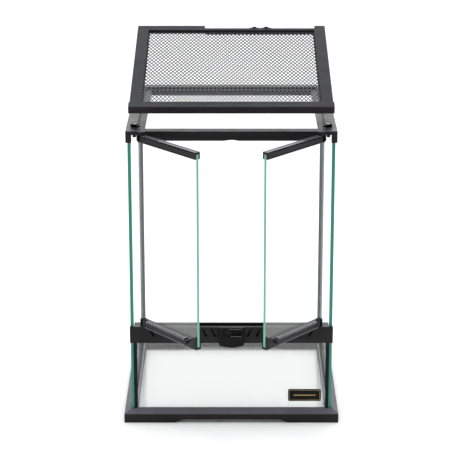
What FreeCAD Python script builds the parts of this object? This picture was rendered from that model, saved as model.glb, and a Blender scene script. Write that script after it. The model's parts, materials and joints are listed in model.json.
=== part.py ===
import FreeCAD, Part
import math
import os
import re
import Sketcher
from FreeCAD import Placement, Rotation, Vector

# Front-opening glass enclosure for a small pet: a glass box between a flared base and a
# top frame, two hinged glass doors above a ventilation strip, and a lift-off mesh lid.
# Millimetres.  X runs across the front, Y from front to back, Z up.  The origin is the
# middle of the footprint, on the surface that the enclosure stands on.
# The doors stand open and the lid is held up off the frame, tilted towards the front.

SIZES = {
    # glass box
    "tank_width": 300,
    "tank_depth": 300,
    "tank_height": 450,
    "glass_thick": 5,
    "seam_width": 4,
    "seam_gap": 1.5,
    "rear_seam_width": 6,
    "floor_bead": 3,
    # base
    "base_flare": 11,
    "base_face": 14,
    "base_height": 20,
    "base_lip": 1.5,
    "base_deck": 10,
    "base_ledge": 8,
    "base_wall": 3,
    "foot_rise": 5,
    "foot_length": 75,
    "foot_slope": 13,
    # top frame
    "rail_height": 17,
    "rail_wall": 2.5,
    "rail_width": 24,
    "rail_step": 13.5,
    "step_depth": 3.5,
    "rail_plate": 7.5,
    "front_reach": 4.7,
    "front_plate": 5.3,
    "front_inset": 13,
    "leg_width": 8.5,
    "backwall_inset": 7,
    "backwall_thick": 2.5,
    "backwall_end": 13,
    "boss_radius": 8.7,
    "nub_radius": 2.7,
    "nub_drop": 4,
    "nub_inset": 10.3,
    "catch_width": 20,
    "catch_rise": 1.3,
    # ventilation strip and latch
    "strip_top": 151,
    "strip_height": 25.5,
    "strip_plate": 4,
    "strip_depth": 16,
    "strip_shelf": 2.5,
    "strip_lip": 9,
    "groove_depth": 3.6,
    "groove_front": 1.5,
    "groove_end": 31,
    "strip_overlap": 7.5,
    "slot_first": 26.7,
    "slot_pitch": 13.05,
    "slot_margin": 31.5,
    "slot_radius": 1.4,
    "slot_rise": 9.6,
    "slot_lean": 4.4,
    "slot_top": 4.6,
    "gauze_thick": 0.6,
    "gauze_inset": 3.4,
    "housing_half": 19,
    "housing_side": 21,
    "housing_drop": 10.5,
    "housing_thick": 4.6,
    "recess_left": 11.7,
    "recess_right": 15.6,
    "recess_height": 11,
    "recess_top": 2.4,
    "recess_depth": 3.6,
    "slider_length": 9,
    "slider_proud": 0.6,
    "slider_gap": 0.4,
    # doors
    "door_angle": 50,
    "hinge_inset": 20,
    "pin_radius": 2,
    "pin_gap": 0.05,
    "pin_length": 8,
    "door_gap": 0.6,
    "door_split": 0.75,
    "door_glass": 4,
    "door_rail_thick": 9,
    "door_rail_height": 10.6,
    "door_groove": 7,
    "door_glass_start": 9,
    "handle_length": 21,
    "handle_foot": 3,
    "handle_low": 10.6,
    "handle_high": 20.8,
    "handle_proud": 5,
    "handle_scoop": 3.8,
    "handle_wall": 1.8,
    # lid
    "lid_inset": 1.5,
    "lid_height": 11,
    "lid_bar": 17.7,
    "lid_skin": 2,
    "lid_tilt": 12.5,
    "lid_gap": 0.3,
    "lid_lift": 18,
    "lid_setback": 29,
    "ear_proud": 1.3,
    "ear_length": 17,
    "mesh_thick": 0.8,
    "mesh_wire": 1.7,
    "mesh_columns": 22,
    "mesh_rows": 11,
    "mesh_drop": 3.4,
    "retainer_width": 2,
    "retainer_height": 1.5,
    "inlet_depth": 10,
    "inlet_left": 42,
    "inlet_right": 16.5,
    "gate_width": 16,
    "gate_thick": 2,
    "gate_gap": 0.2,
    "gate_rise": 1.6,
    "gate_first": 36.6,
    "gate_second": 55,
    "thumb_width": 6,
    # lid locks
    "lock_inset": 10,
    "lock_setback": 25,
    "lock_radius": 4.6,
    "lock_height": 4.2,
    "lock_arm": 7.2,
    "lock_arm_width": 4,
    "lock_arm_height": 2.8,
    "lock_angle": 50,
    "screw_radius": 1.5,
    "screw_sink": 0.8,
    # name plate
    "plate_margin": 6.2,
    "plate_width": 49.6,
    "plate_bottom": 31,
    "plate_height": 19.2,
    "plate_thick": 1,
    "plate_corner": 2.2,
}

ALIAS = re.compile(r"[a-z]+(?:_[a-z]+)*")
DOC = FreeCAD.newDocument("Enclosure")
RULER = DOC.addObject("App::FeaturePython", "Ruler")
RULER.addProperty("App::PropertyFloat", "Value")
NODES = []

# Lines that several pieces share, as expressions of the driving sizes.
HALF_X = "tank_width / 2"
HALF_Y = "tank_depth / 2"
FRONT = "-tank_depth / 2"
GLASS_TOP = "tank_height - rail_plate"
RAIL_FOOT = "tank_height - rail_height"
FLOOR_TOP = "base_deck + glass_thick"
STRIP_FOOT = "strip_top - strip_height"
FRONT_GLASS_TOP = "strip_top - strip_height + strip_overlap"
HINGE_X = "tank_width / 2 - hinge_inset"
SHELF_FOOT = "strip_top - groove_depth - strip_shelf"
SLOT_STEPS = "floor((tank_width / 2 - slot_margin - slot_first) / slot_pitch)"
DOOR_FOOT = "strip_top + door_gap"
DOOR_TOP = "tank_height - front_plate - door_gap"
DOOR_REACH = "tank_width / 2 - hinge_inset - door_split"
LID_HALF_X = "tank_width / 2 - lid_inset"
LID_HALF_Y = "tank_depth / 2 - lid_inset"
LID_INNER_X = "tank_width / 2 - lid_inset - lid_bar"
LID_INNER_Y = "tank_depth / 2 - lid_inset - lid_bar"
MESH_FOOT = "lid_height - mesh_drop - mesh_thick"


def fill_sheet():
    """Write the driving sizes into a spreadsheet, one aliased cell each."""
    sheet = DOC.addObject("Spreadsheet::Sheet", "Sizes")
    for row, (alias, value) in enumerate(SIZES.items(), 1):
        sheet.set(f"A{row}", alias)
        sheet.set(f"B{row}", str(value))
        sheet.setAlias(f"B{row}", alias)
    DOC.recompute()
    return sheet


def bind(obj, prop, expression):
    """Drive one property by an expression of the sheet's aliases."""
    def qualify(word):
        return f"Sizes.{word.group()}" if word.group() in SIZES else word.group()
    obj.setExpression(prop, ALIAS.sub(qualify, str(expression)))


def size(alias):
    """Read a driving size back from the sheet, for geometry that code has to place."""
    return float(DOC.Sizes.get(alias))


def place(obj, x="0", y="0", z="0"):
    """Bind where an object stands."""
    for axis, expression in (("x", x), ("y", y), ("z", z)):
        bind(obj, f"Placement.Base.{axis}", expression)


def turn(obj, axis, angle):
    """Bind a rotation about one of the object's own axes."""
    for name in "xyz":
        bind(obj, f"Placement.Rotation.Axis.{name}", int(name == axis))
    bind(obj, "Placement.Rotation.Angle", angle)


def block(name, x, y, z):
    """A box between two expressions on each axis."""
    solid = DOC.addObject("Part::Box", name)
    for prop, (low, high) in (("Length", x), ("Width", y), ("Height", z)):
        bind(solid, prop, f"({high}) - ({low})")
    place(solid, x[0], y[0], z[0])
    return solid


def column(name, radius, x, y, z):
    """An upright cylinder between two heights."""
    solid = DOC.addObject("Part::Cylinder", name)
    bind(solid, "Radius", radius)
    bind(solid, "Height", f"({z[1]}) - ({z[0]})")
    place(solid, x, y, z[0])
    return solid


def frustum(name, low, high, z):
    """A four-sided body whose half sizes (x, y) change from one height to another."""
    solid = DOC.addObject("Part::Wedge", name)
    limits = {"Ymin": z[0], "Ymax": z[1]}
    for prefix, half in (("X", low[0]), ("Z", low[1]), ("X2", high[0]), ("Z2", high[1])):
        limits[f"{prefix}min"] = f"-({half})"
        limits[f"{prefix}max"] = half
    for prop in ("Xmax", "Ymax", "Zmax", "X2max", "Z2max", "Xmin", "Ymin", "Zmin", "X2min", "Z2min"):
        bind(solid, prop, limits[prop])
    solid.Placement = Placement(Vector(0, 0, 0), Rotation(Vector(1, 0, 0), 90))
    return solid


def fuse(name, *solids):
    """Join solids into one."""
    joined = DOC.addObject("Part::MultiFuse", name)
    joined.Shapes = list(solids)
    joined.Refine = True
    return joined


def cut(name, base, *tools):
    """Take tools away from a base."""
    result = DOC.addObject("Part::Cut", name)
    result.Base = base
    result.Tool = tools[0] if len(tools) == 1 else fuse(f"{name}_tools", *tools)
    result.Refine = True
    return result


def node(label, obj):
    """Name a finished sub-part after the file that holds it."""
    obj.Label = label
    NODES.append(obj)
    return obj


def origin_plane(body, role):
    """Find one of a body's own origin planes."""
    return next(item for item in body.Origin.OriginFeatures if item.Role == role)


def sketch_on(body, name, role, offset="0"):
    """A sketch on an origin plane, moved along the plane's normal."""
    sketch = body.newObject("Sketcher::SketchObject", name)
    sketch.AttachmentSupport = [(origin_plane(body, role), "")]
    sketch.MapMode = "FlatFace"
    bind(sketch, "AttachmentOffset.Base.z", offset)
    return sketch


def value_of(expression):
    """The number that an expression of the sizes stands for, where code has to place geometry."""
    bind(RULER, "Value", expression)
    RULER.recompute()
    return RULER.Value


def dimension(sketch, kind, name, expression, *targets):
    """Add a driving dimension to a sketch and bind it to the sheet."""
    index = sketch.addConstraint(Sketcher.Constraint(kind, *targets, value_of(expression)))
    sketch.renameConstraint(index, name)
    bind(sketch, f"Constraints.{name}", expression)


def polygon(sketch, *corners):
    """Draw a closed outline through corners given as pairs of expressions."""
    points = [Vector(value_of(x), value_of(y)) for x, y in corners]
    count = len(points)
    for index in range(count):
        sketch.addGeometry(Part.LineSegment(points[index], points[(index + 1) % count]), False)
    for index in range(count):
        sketch.addConstraint(Sketcher.Constraint("Coincident", index, 2, (index + 1) % count, 1))
    for index, (x, y) in enumerate(corners):
        dimension(sketch, "DistanceX", f"x{index}", x, -1, 1, index, 1)
        dimension(sketch, "DistanceY", f"y{index}", y, -1, 1, index, 1)


def rectangle(sketch, x, y):
    """Draw a rectangle between two expressions on each sketch axis."""
    polygon(sketch, (x[0], y[0]), (x[1], y[0]), (x[1], y[1]), (x[0], y[1]))


def stadium(sketch, low, high, radius):
    """Draw a slot with round ends between two centres given as pairs of expressions."""
    start = Vector(value_of(low[0]), value_of(low[1]))
    end = Vector(value_of(high[0]), value_of(high[1]))
    reach = value_of(radius)
    heading = math.atan2(end.y - start.y, end.x - start.x)
    side = Vector(-math.sin(heading), math.cos(heading)) * reach
    up = Vector(0, 0, 1)
    far = Part.ArcOfCircle(Part.Circle(end, up, reach), heading - math.pi / 2, heading + math.pi / 2)
    near = Part.ArcOfCircle(Part.Circle(start, up, reach), heading + math.pi / 2, heading + math.pi * 1.5)
    upper = Part.LineSegment(end + side, start + side)
    lower = Part.LineSegment(start - side, end - side)
    sketch.addGeometry([far, near, upper, lower], False)
    for first, first_end, second, second_end in ((0, 2, 2, 1), (2, 2, 1, 1), (1, 2, 3, 1), (3, 2, 0, 1)):
        sketch.addConstraint(Sketcher.Constraint("Tangent", first, first_end, second, second_end))
    dimension(sketch, "Radius", "radius", radius, 0)
    for geometry, tag, centre in ((0, "far", high), (1, "near", low)):
        dimension(sketch, "DistanceX", f"{tag}x", centre[0], -1, 1, geometry, 3)
        dimension(sketch, "DistanceY", f"{tag}y", centre[1], -1, 1, geometry, 3)


def pad(body, name, sketch, length, backwards=False):
    """Extrude a sketch along its normal, or against it."""
    feature = body.newObject("PartDesign::Pad", name)
    feature.Profile = sketch
    feature.Reversed = backwards
    bind(feature, "Length", length)
    return feature


def pocket(body, name, sketch, depth):
    """Cut a sketch into the body and check that it takes material away."""
    DOC.recompute()
    before = body.Shape.Volume
    feature = body.newObject("PartDesign::Pocket", name)
    feature.Profile = sketch
    bind(feature, "Length", depth)
    DOC.recompute()
    if body.Shape.Volume >= before:
        raise RuntimeError(f"{name} cuts nothing")
    return feature


def new_body(name):
    """An empty body for sketched features."""
    return DOC.addObject("PartDesign::Body", name)


def base_frame():
    """Flared base: four feet with arches between them, a deck for the glass, a hollow underside."""
    outer_x = f"{HALF_X} + base_flare"
    outer_y = f"{HALF_Y} + base_flare"
    past = ("-1", "base_height + 1")
    lip_x = f"{HALF_X} + base_lip"
    lip_y = f"{HALF_Y} + base_lip"
    face = block("BaseFace", (f"-({outer_x})", outer_x), (f"-({outer_y})", outer_y), ("0", "base_face"))
    slope = frustum("BaseSlope", (outer_x, outer_y), (lip_x, lip_y), ("base_face", "base_height"))
    seat = block("BaseSeat", (f"-{HALF_X}", HALF_X), (f"-{HALF_Y}", HALF_Y), ("base_deck", "base_height + 1"))
    inner_x = f"{HALF_X} - base_ledge"
    inner_y = f"{HALF_Y} - base_ledge"
    opening = block("BaseOpening", (f"-({inner_x})", inner_x), (f"-({inner_y})", inner_y), past)
    hollow_x = f"{outer_x} - base_wall"
    hollow_y = f"{outer_y} - base_wall"
    core_x = f"{inner_x} + base_wall"
    core_y = f"{inner_y} + base_wall"
    roof = "base_deck - base_wall"
    hollow = cut(
        "BaseHollow",
        block("BaseHollowOuter", (f"-({hollow_x})", hollow_x), (f"-({hollow_y})", hollow_y), ("-1", roof)),
        block("BaseHollowCore", (f"-({core_x})", core_x), (f"-({core_y})", core_y), ("-2", "base_height")),
    )
    arches = []
    for name, along, across, x_way in (("Front", outer_x, outer_y, True), ("Side", outer_y, outer_x, False)):
        foot = f"{along} - foot_length"
        crown = f"{foot} - foot_slope"
        beyond = f"{across} + 1"
        low = (foot, beyond) if x_way else (beyond, foot)
        high = (crown, beyond) if x_way else (beyond, crown)
        arches.append(frustum(f"{name}Arch", low, high, ("0", "foot_rise")))
    solid = fuse("BaseSolid", face, slope)
    return node("base_frame", cut("BaseFrame", solid, seat, opening, hollow, *arches))


def glass_box():
    """Floor, two sides, rear wall and the low front wall."""
    inner_x = f"{HALF_X} - glass_thick"
    inner_y = f"{HALF_Y} - glass_thick"
    wall = ("base_deck", GLASS_TOP)
    floor_y = (f"-({inner_y})", inner_y)
    node("floor_glass", block("FloorGlass", (f"-({inner_x})", inner_x), floor_y, ("base_deck", FLOOR_TOP)))
    side_y = (FRONT, f"{inner_y} - seam_gap")
    node("left_side_glass", block("LeftGlass", (f"-{HALF_X}", f"-({inner_x})"), side_y, wall))
    node("right_side_glass", block("RightGlass", (inner_x, HALF_X), side_y, wall))
    node("rear_glass", block("RearGlass", (f"-{HALF_X}", HALF_X), (inner_y, HALF_Y), wall))
    front_x = f"{inner_x} - seam_width"
    front_z = ("base_deck", FRONT_GLASS_TOP)
    node("front_glass", block("FrontGlass", (f"-({front_x})", front_x), (FRONT, f"-({inner_y})"), front_z))


def silicone_seams():
    """Beads in the four upright corners and round the floor."""
    inner_x = f"{HALF_X} - glass_thick"
    inner_y = f"{HALF_Y} - glass_thick"
    bead_top = f"{FLOOR_TOP} + floor_bead"
    for side, sign in (("left", "-1"), ("right", "1")):
        edge = f"{sign} * ({inner_x})"
        inside = f"{sign} * ({inner_x} - seam_width)"
        front_x = (edge, inside) if side == "left" else (inside, edge)
        front_z = ("base_deck", FRONT_GLASS_TOP)
        node(f"{side}_front_seam", block(f"{side}FrontSeam", front_x, (FRONT, f"-({inner_y})"), front_z))
        outside = f"{sign} * {HALF_X}"
        rear_in = f"{sign} * ({HALF_X} - rear_seam_width)"
        rear_x = (outside, rear_in) if side == "left" else (rear_in, outside)
        rear_y = (f"{inner_y} - seam_gap", inner_y)
        node(f"{side}_rear_seam", block(f"{side}RearSeam", rear_x, rear_y, (bead_top, GLASS_TOP)))
    hole_x = f"{inner_x} - floor_bead"
    hole_y = f"{inner_y} - floor_bead"
    ring = block("BeadRing", (f"-({inner_x})", inner_x), (f"-({inner_y})", inner_y), (FLOOR_TOP, bead_top))
    hole = block("BeadHole", (f"-({hole_x})", hole_x), (f"-({hole_y})", hole_y), ("0", f"{bead_top} + 1"))
    node("floor_seam", cut("FloorSeam", ring, hole))


def top_frame():
    """Stepped top rails, a thin front rail over the doors, hinge bosses and corner legs."""
    out_x = f"{HALF_X} + rail_wall"
    out_y = f"{HALF_Y} + rail_wall"
    nose = f"{FRONT} - front_reach"
    above = "tank_height + 1"
    inner_x = f"{HALF_X} - rail_width"
    inner_y = f"{HALF_Y} - rail_width"
    step_x = f"{HALF_X} - rail_step"
    step_y = f"{HALF_Y} - rail_step"
    rail_back = f"{FRONT} + front_inset"
    leg_x = f"{out_x} - leg_width"
    wall_y = f"{FRONT} + backwall_inset"
    wall_x = f"{HALF_X} - backwall_end"
    brow = "tank_height - front_plate"
    body = block("FrameBody", (f"-({out_x})", out_x), (nose, out_y), (RAIL_FOOT, "tank_height"))
    hollow = block("FrameHollow", (f"-{HALF_X}", HALF_X), (FRONT, HALF_Y), (f"{RAIL_FOOT} - 1", GLASS_TOP))
    opening = block("FrameOpening", (f"-({inner_x})", inner_x), (rail_back, inner_y), (RAIL_FOOT, above))
    step_z = ("tank_height - step_depth", above)
    step = block("FrameStep", (f"-({step_x})", step_x), (rail_back, step_y), step_z)
    mouth = block("FrameMouth", (f"-({leg_x})", leg_x), (f"{nose} - 1", wall_y), (f"{RAIL_FOOT} - 1", brow))
    shell = cut("FrameShell", body, hollow, opening, step, mouth)
    wall_back = f"{wall_y} + backwall_thick"
    wall = block("DoorStopWall", (f"-({wall_x})", wall_x), (wall_y, wall_back), (RAIL_FOOT, brow))
    extras = []
    for side, sign in (("Left", "-1"), ("Right", "1")):
        hinge_x = f"{sign} * ({HINGE_X})"
        extras.append(column(f"{side}Boss", "boss_radius", hinge_x, FRONT, (brow, "tank_height")))
        nub_x = f"{sign} * ({HALF_X} - nub_inset)"
        extras.append(column(f"{side}Nub", "nub_radius", nub_x, FRONT, (f"{brow} - nub_drop", brow)))
    solid = fuse("FrameSolid", shell, wall, *extras)
    arch = DOC.addObject("Part::Cylinder", "CatchArch")
    radius = "(catch_width ^ 2 / 4 + catch_rise ^ 2) / (2 * catch_rise)"
    bind(arch, "Radius", radius)
    bind(arch, "Height", "backwall_thick + 2")
    turn(arch, "x", -90)
    place(arch, "0", f"{wall_y} - 1", f"{RAIL_FOOT} + catch_rise - {radius}")
    return node("top_frame", cut("TopFrame", solid, arch))


def vent_strip():
    """Moulded crossbar under the doors: a groove on top, leaning slots each side of the latch."""
    body = new_body("VentStrip")
    plate = sketch_on(body, "StripPlateOutline", "XZ_Plane", HALF_Y)
    plate_x = f"{HALF_X} + 1"
    rectangle(plate, (f"-({plate_x})", plate_x), (STRIP_FOOT, "strip_top"))
    pad(body, "StripPlate", plate, "strip_plate")
    half = f"{HALF_X} - glass_thick - 0.2"
    shelf = sketch_on(body, "StripShelfOutline", "XZ_Plane", HALF_Y)
    rectangle(shelf, (f"-({half})", half), (SHELF_FOOT, "strip_top"))
    pad(body, "StripShelf", shelf, "strip_depth", backwards=True)
    lip = sketch_on(body, "StripLipOutline", "XZ_Plane", f"{HALF_Y} - strip_depth")
    rectangle(lip, (f"-({half})", half), ("strip_top - strip_lip", "strip_top"))
    pad(body, "StripLip", lip, "strip_shelf")
    groove = sketch_on(body, "StripGrooveOutline", "XY_Plane", "strip_top")
    groove_x = f"{HALF_X} - groove_end"
    groove_back = f"{FRONT} + strip_depth - strip_shelf"
    rectangle(groove, (f"-({groove_x})", groove_x), (f"{FRONT} - groove_front", groove_back))
    pocket(body, "StripGroove", groove, "groove_depth")
    top = "strip_top - slot_top"
    bottom = "strip_top - slot_top - slot_rise"
    for side, sign, axis_way in (("Left", "-1", True), ("Right", "1", False)):
        slot = sketch_on(body, f"{side}Slot", "XZ_Plane", f"{HALF_Y} + strip_plate")
        low = (f"{sign} * (slot_first - slot_lean / 2)", bottom)
        high = (f"{sign} * (slot_first + slot_lean / 2)", top)
        stadium(slot, low, high, "slot_radius")
        opening = pocket(body, f"{side}SlotCut", slot, "strip_plate")
        row = body.newObject("PartDesign::LinearPattern", f"{side}SlotRow")
        row.Originals = [opening]
        row.Direction = (slot, ["H_Axis"])
        row.Reversed = axis_way
        bind(row, "Length", f"slot_pitch * ({SLOT_STEPS})")
        bind(row, "Occurrences", f"{SLOT_STEPS} + 1")
        body.Tip = row
    return node("vent_strip", body)


def vent_gauze():
    """Fine gauze that keeps the slots closed to insects and bedding."""
    half = f"{HALF_X} - glass_thick - 1"
    front = f"{FRONT} + gauze_inset"
    z = (FRONT_GLASS_TOP, SHELF_FOOT)
    return node("vent_gauze", block("Gauze", (f"-({half})", half), (front, f"{front} + gauze_thick"), z))


def latch_housing():
    """Raised block in the middle of the strip, rounded below, with a finger recess."""
    body = new_body("LatchHousing")
    outline = sketch_on(body, "HousingOutline", "XZ_Plane", f"{HALF_Y} + strip_plate")
    half = size("housing_half")
    drop = size("housing_drop")
    top = size("strip_top")
    corner_z = top - size("housing_side")
    radius = (half ** 2 + drop ** 2) / (2 * drop)
    centre = Vector(0, corner_z - drop + radius)
    spread = math.asin(half / radius)
    outline.addGeometry(Part.LineSegment(Vector(-half, corner_z), Vector(-half, top)), False)
    outline.addGeometry(Part.LineSegment(Vector(-half, top), Vector(half, top)), False)
    outline.addGeometry(Part.LineSegment(Vector(half, top), Vector(half, corner_z)), False)
    circle = Part.Circle(centre, Vector(0, 0, 1), radius)
    outline.addGeometry(Part.ArcOfCircle(circle, -math.pi / 2 - spread, -math.pi / 2 + spread), False)
    for first, first_end, second, second_end in ((0, 2, 1, 1), (1, 2, 2, 1), (2, 2, 3, 2), (3, 1, 0, 1)):
        outline.addConstraint(Sketcher.Constraint("Coincident", first, first_end, second, second_end))
    outline.addConstraint(Sketcher.Constraint("Vertical", 0))
    outline.addConstraint(Sketcher.Constraint("Vertical", 2))
    outline.addConstraint(Sketcher.Constraint("Symmetric", 0, 2, 2, 1, -2))
    outline.addConstraint(Sketcher.Constraint("PointOnObject", 3, 3, -2))
    dimension(outline, "DistanceX", "width", "2 * housing_half", 1, 1, 1, 2)
    dimension(outline, "DistanceY", "top", "strip_top", -1, 1, 1, 1)
    dimension(outline, "DistanceY", "side", "housing_side", 0, 1, 0, 2)
    dimension(outline, "Radius", "belly", "(housing_half ^ 2 + housing_drop ^ 2) / (2 * housing_drop)", 3)
    pad(body, "HousingBlock", outline, "housing_thick")
    finger = sketch_on(body, "RecessOutline", "XZ_Plane", f"{HALF_Y} + strip_plate + housing_thick")
    middle = "strip_top - recess_top - recess_height / 2"
    low = ("-recess_left + recess_height / 2", middle)
    high = ("recess_right - recess_height / 2", middle)
    stadium(finger, low, high, "recess_height / 2")
    body.Tip = pocket(body, "FingerRecess", finger, "recess_depth")
    return node("latch_housing", body)


def latch_slider():
    """Thumb piece in the recess that slides sideways."""
    body = new_body("LatchSlider")
    radius = "recess_height / 2 - slider_gap"
    middle = "strip_top - recess_top - recess_height / 2"
    start = "-recess_left + recess_height / 2"
    floor = f"{HALF_Y} + strip_plate + housing_thick - recess_depth"
    outline = sketch_on(body, "SliderOutline", "XZ_Plane", floor)
    stadium(outline, (start, middle), (f"{start} + slider_length - 2 * ({radius}) + 4", middle), radius)
    body.Tip = pad(body, "SliderBlock", outline, "recess_depth - slider_proud")
    return node("latch_slider", body)


def name_plate():
    """Plain plate with rounded corners on the low front glass."""
    right = f"{HALF_X} - glass_thick - seam_width - plate_margin"
    plate_y = (f"{FRONT} - plate_thick", FRONT)
    plate_z = ("plate_bottom", "plate_bottom + plate_height")
    plate = block("PlateBlank", (f"{right} - plate_width", right), plate_y, plate_z)
    rounded = DOC.addObject("Part::Fillet", "PlateRounded")
    rounded.Base = plate
    DOC.recompute()
    edges = []
    for index, edge in enumerate(plate.Shape.Edges, 1):
        start, end = (vertex.Point for vertex in edge.Vertexes)
        if abs(start.x - end.x) < 1e-6 and abs(start.z - end.z) < 1e-6:
            edges.append((index, size("plate_corner"), size("plate_corner")))
    rounded.Edges = edges
    return node("name_plate", rounded)


def hinge_pins():
    """Upper pins hang from the bosses, lower pins stand on the ventilation strip."""
    brow = "tank_height - front_plate"
    for side, sign in (("left", "-1"), ("right", "1")):
        x = f"{sign} * ({HINGE_X})"
        upper = column(f"{side}UpperPin", "pin_radius", x, FRONT, (f"{brow} - pin_length", brow))
        node(f"{side}_upper_hinge_pin", upper)
        lower = column(f"{side}LowerPin", "pin_radius", x, FRONT, ("strip_top", "strip_top + pin_length"))
        node(f"{side}_lower_hinge_pin", lower)


def carried(name, obj, x="0", y="0", z="0", axis="z", angle="0"):
    """Move and turn a finished piece from its own frame to where it stands."""
    moved = DOC.addObject("Part::Compound", name)
    moved.Links = [obj]
    turn(moved, axis, angle)
    place(moved, x, y, z)
    return moved


def along_door(sign, near, far):
    """Order two distances from the hinge as limits on X, for the left (1) or right (-1) door."""
    if sign > 0:
        return near, far
    return f"-({far})", f"-({near})"


def door_rail(name, sign, z, groove_z, hole_z):
    """A rail with a round hinge end, an open-ended groove for the glass and a pin hole."""
    half = "door_rail_thick / 2"
    bar = block(f"{name}Bar", along_door(sign, "0", DOOR_REACH), (f"-{half}", half), z)
    knuckle = column(f"{name}Knuckle", f"{half} + 0.8", "0", "0", z)
    groove_x = along_door(sign, "door_glass_start", f"{DOOR_REACH} + 1")
    groove = block(f"{name}Groove", groove_x, ("-door_glass / 2", "door_glass / 2"), groove_z)
    hole = column(f"{name}Hole", "pin_radius + pin_gap", "0", "0", hole_z)
    return cut(name, fuse(f"{name}Solid", bar, knuckle), groove, hole)


def finger_pull(name, sign):
    """Sloping pull at the free end, with a three-cornered scoop under its top edge."""
    body = new_body(name)
    near = f"{DOOR_REACH} - handle_length"
    foot = DOOR_FOOT

    def corner(along, height):
        return f"{sign} * ({along})", f"{foot} + {height}"

    outline = sketch_on(body, f"{name}Outline", "XZ_Plane", "door_rail_thick / 2")
    polygon(
        outline,
        corner(near, "handle_foot"),
        corner(DOOR_REACH, "handle_foot"),
        corner(DOOR_REACH, "handle_high"),
        corner(near, "handle_low"),
    )
    pad(body, f"{name}Block", outline, "handle_proud")
    scoop = sketch_on(body, f"{name}Scoop", "XZ_Plane", "door_rail_thick / 2 + handle_proud")
    polygon(
        scoop,
        corner(f"{near} + handle_wall", "handle_low - handle_wall"),
        corner(f"{near} + 2 * handle_wall", "handle_foot + handle_wall"),
        corner(f"{DOOR_REACH} - handle_wall", "handle_high - 1.6 * handle_wall"),
    )
    body.Tip = pocket(body, f"{name}ScoopCut", scoop, "handle_scoop")
    return body


def door(side, sign):
    """One glass door drawn shut from its hinge, then hung on it and opened."""
    foot = DOOR_FOOT
    top = DOOR_TOP
    low_edge = f"{foot} + door_rail_height"
    high_edge = f"{top} - door_rail_height"
    low_groove = (f"{low_edge} - door_groove", f"{low_edge} + 1")
    high_groove = (f"{high_edge} - 1", f"{high_edge} + door_groove")
    low_hole = (f"{foot} - 1", f"{foot} + pin_length")
    high_hole = (f"{top} - pin_length", f"{top} + 1")
    pane_x = along_door(sign, "door_glass_start", DOOR_REACH)
    pane_y = ("-door_glass / 2", "door_glass / 2")
    pieces = {
        "door_glass": block(f"{side}Pane", pane_x, pane_y, (low_groove[0], high_groove[1])),
        "lower_door_rail": door_rail(f"{side}LowerRail", sign, (foot, low_edge), low_groove, low_hole),
        "upper_door_rail": door_rail(f"{side}UpperRail", sign, (high_edge, top), high_groove, high_hole),
        "door_handle": finger_pull(f"{side}Pull", sign),
    }
    for name, piece in pieces.items():
        hinge_x = f"{-sign} * ({HINGE_X})"
        hung = carried(f"{side}{name}", piece, hinge_x, FRONT, "0", "z", f"{-sign} * door_angle")
        node(f"{side.lower()}_{name}", hung)


def on_lid(label, piece):
    """Carry a piece from the lid's own frame, with its origin mid-foot, to the held-up lid."""
    y = f"{FRONT} + lid_setback + ({LID_HALF_Y}) * cos(lid_tilt)"
    z = f"tank_height + lid_lift + ({LID_HALF_Y}) * sin(lid_tilt)"
    return node(label, carried(f"Lifted{label}", piece, "0", y, z, "x", "lid_tilt"))


def lid_frame():
    """Bars round the mesh, open below, with front ears and a cable inlet along the rear."""
    out_x = LID_HALF_X
    out_y = LID_HALF_Y
    top = "lid_height"
    through = ("-1", f"{top} + 1")
    blank = block("LidBlank", (f"-({out_x})", out_x), (f"-({out_y})", out_y), ("0", top))
    ears = []
    for side, sign in (("Left", -1), ("Right", 1)):
        ear_x = along_door(sign, f"{out_x} - 1", f"{out_x} + ear_proud")
        ears.append(block(f"{side}Ear", ear_x, (f"-({out_y})", f"-({out_y}) + ear_length"), ("0", top)))
    hole_x = (f"-({LID_INNER_X})", LID_INNER_X)
    hole = block("LidHole", hole_x, (f"-({LID_INNER_Y})", LID_INNER_Y), through)
    void_z = ("-1", f"{top} - lid_skin")
    void_x = f"{out_x} - lid_skin"
    void_y = f"{out_y} - lid_skin"
    core_x = f"{LID_INNER_X} + lid_skin"
    core_y = f"{LID_INNER_Y} + lid_skin"
    inlet_x = ("-inlet_left", f"{out_x} - inlet_right")
    wall_y = (f"{out_y} - inlet_depth - lid_skin", f"{out_y} + 1")
    lip_z = (f"{MESH_FOOT} - retainer_height", f"{top} + 1")
    void = cut(
        "LidVoid",
        block("LidVoidOuter", (f"-({void_x})", void_x), (f"-({void_y})", void_y), void_z),
        block("LidVoidCore", (f"-({core_x})", core_x), (f"-({core_y})", core_y), lip_z),
        block("LidInletWall", inlet_x, wall_y, through),
    )
    inlet = block("LidInlet", inlet_x, (f"{out_y} - inlet_depth", f"{out_y} + 1"), through)
    return on_lid("lid_frame", cut("LidFrame", fuse("LidSolid", blank, *ears), hole, void, inlet))


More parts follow.
